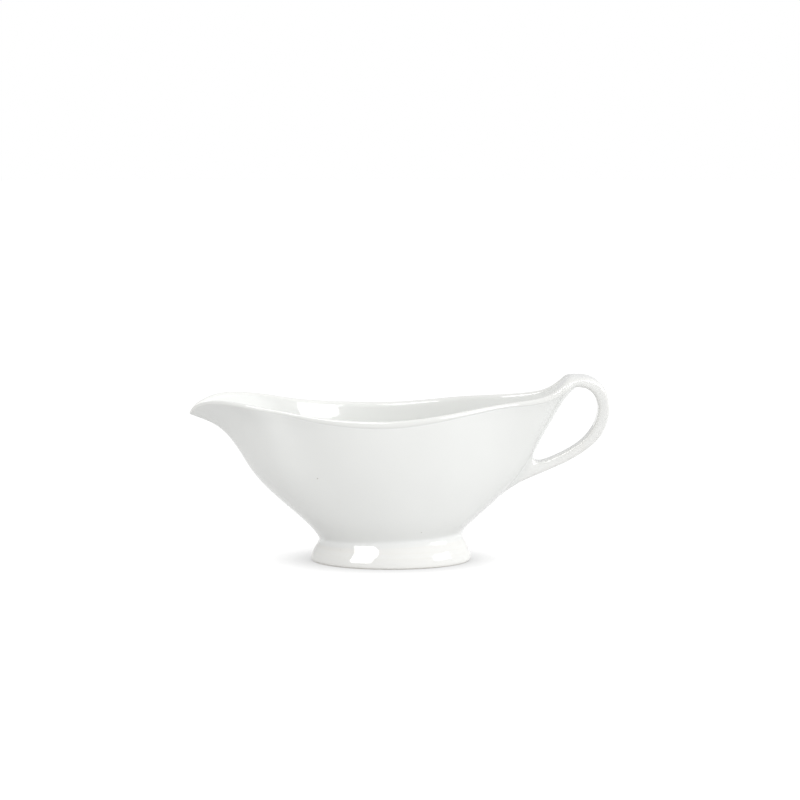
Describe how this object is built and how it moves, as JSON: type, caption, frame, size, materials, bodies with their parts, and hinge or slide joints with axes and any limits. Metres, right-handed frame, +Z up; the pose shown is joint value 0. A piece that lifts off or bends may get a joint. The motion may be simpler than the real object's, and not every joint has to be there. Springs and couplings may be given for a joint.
{
  "type": "gravy boat",
  "caption": "Footed oval gravy boat in glazed white porcelain, with a long open pouring lip, a rolled rim and a looped strap handle.",
  "frame": {"origin": "on the table under the middle of the boat's overall length and width", "axes": "+X along the boat towards the handle, the pouring lip at -X, +Y across it, +Z up"},
  "size_m": [0.2303, 0.0976, 0.1026],
  "materials": {
    "glazed_porcelain": "clear gloss glaze over white porcelain",
    "foot_glaze": "clear gloss glaze, wiped off the flat ring it stands on",
    "handle_glaze": "clear gloss glaze over white porcelain",
    "luting_slip": "fired slip under the same gloss glaze"
  },
  "bodies": {
    "root": {"bowl": "glazed_porcelain", "foot": "foot_glaze", "handle": "handle_glaze", "foot_luting_seam": "luting_slip", "handle_upper_luting_seam": "luting_slip", "handle_lower_luting_seam": "luting_slip"}
  },
  "joints": []
}
